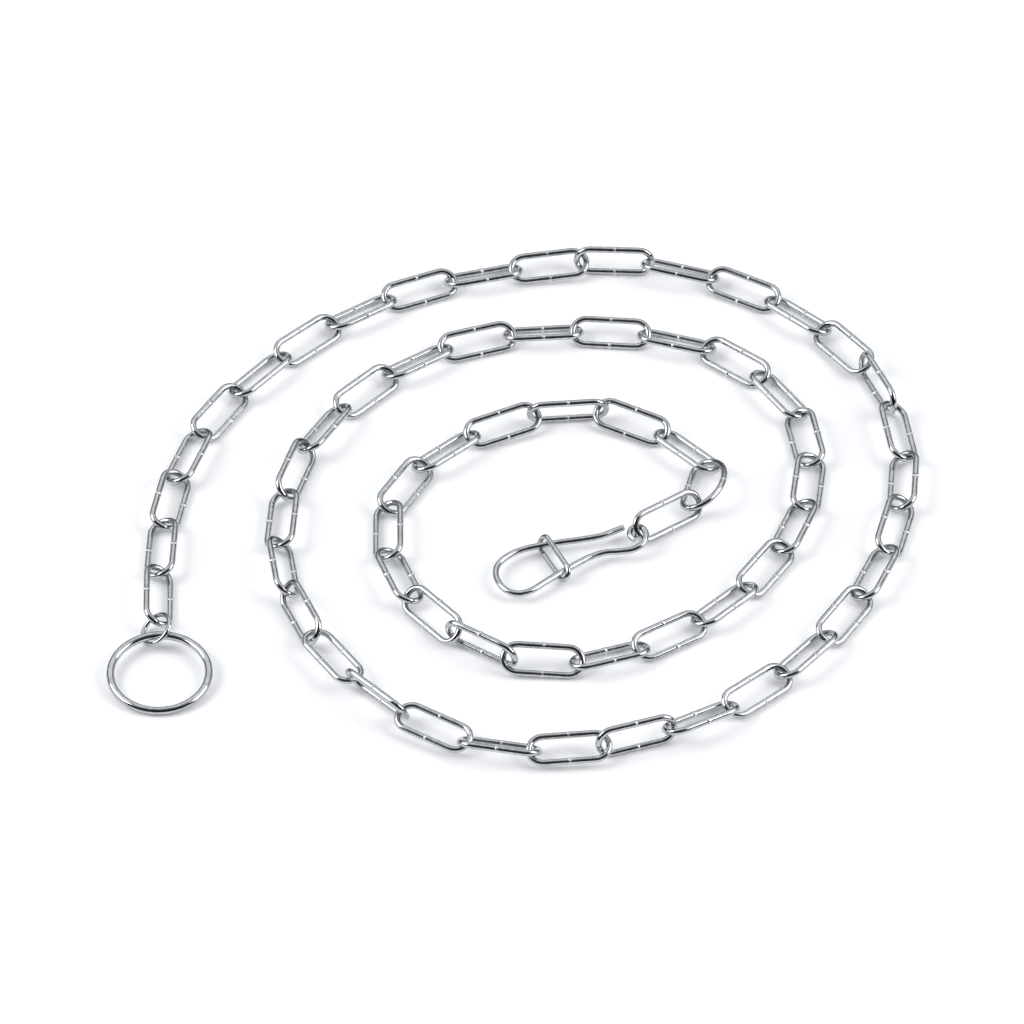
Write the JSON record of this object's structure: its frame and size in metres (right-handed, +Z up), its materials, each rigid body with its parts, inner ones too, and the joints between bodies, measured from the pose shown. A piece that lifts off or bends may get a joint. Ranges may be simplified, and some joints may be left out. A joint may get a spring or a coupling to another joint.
{
  "type": "steel tether chain",
  "caption": "Bright steel long-link chain laid in a flat spiral, with a round ring at its outer end and a wire snap hook with a sliding keeper at its middle.",
  "frame": {"origin": "on the floor, under the middle of the box round the whole chain", "axes": "+Z up; +X along the widest way of the spiral, to the right as the picture shows it; +Y away from the viewer"},
  "size_m": [0.3732, 0.339, 0.0159],
  "materials": {
    "link_steel": "bright zinc plating, drawn wire, butt welded",
    "ring_steel": "bright plating, polished",
    "hook_steel": "bright plating on bent wire"
  },
  "bodies": {
    "chain": {"connecting_ring": "ring_steel", "end_ring": "ring_steel", "link_01": "link_steel", "link_02": "link_steel", "link_03": "link_steel", "link_04_05": "link_steel", "link_06": "link_steel", "link_07": "link_steel", "link_08": "link_steel", "link_09": "link_steel", "link_10": "link_steel", "link_11": "link_steel", "link_12": "link_steel", "link_13_14": "link_steel", "link_15": "link_steel", "link_16": "link_steel", "link_17": "link_steel", "link_18_19": "link_steel", "link_20": "link_steel", "link_21": "link_steel", "link_22": "link_steel", "link_23": "link_steel", "link_24": "link_steel", "link_25": "link_steel", "link_26": "link_steel", "link_27": "link_steel", "link_28_29": "link_steel", "link_30": "link_steel", "link_31": "link_steel", "link_32": "link_steel", "link_33": "link_steel", "link_34": "link_steel", "link_35": "link_steel", "link_36_37": "link_steel", "link_38": "link_steel", "link_39": "link_steel", "link_40": "link_steel", "link_41": "link_steel", "link_42": "link_steel", "link_43": "link_steel", "link_44_45": "link_steel", "link_46": "link_steel", "link_47": "link_steel", "link_48": "link_steel", "link_49_50": "link_steel", "link_51": "link_steel", "link_52": "link_steel", "link_53": "link_steel", "link_54": "link_steel", "link_55": "link_steel", "link_56_57": "link_steel", "link_58": "link_steel", "link_59": "link_steel", "link_60": "link_steel", "link_61": "link_steel", "link_62": "link_steel", "link_63": "link_steel", "link_64": "link_steel", "snap_hook": "hook_steel"},
    "keeper": {"hook_keeper": "hook_steel"}
  },
  "joints": [
    {"name": "keeper_slide", "type": "slide", "parent": "chain", "child": "keeper", "axis": [0.9026, 0.4305, 0], "range_m": [0, 0.018]}
  ]
}
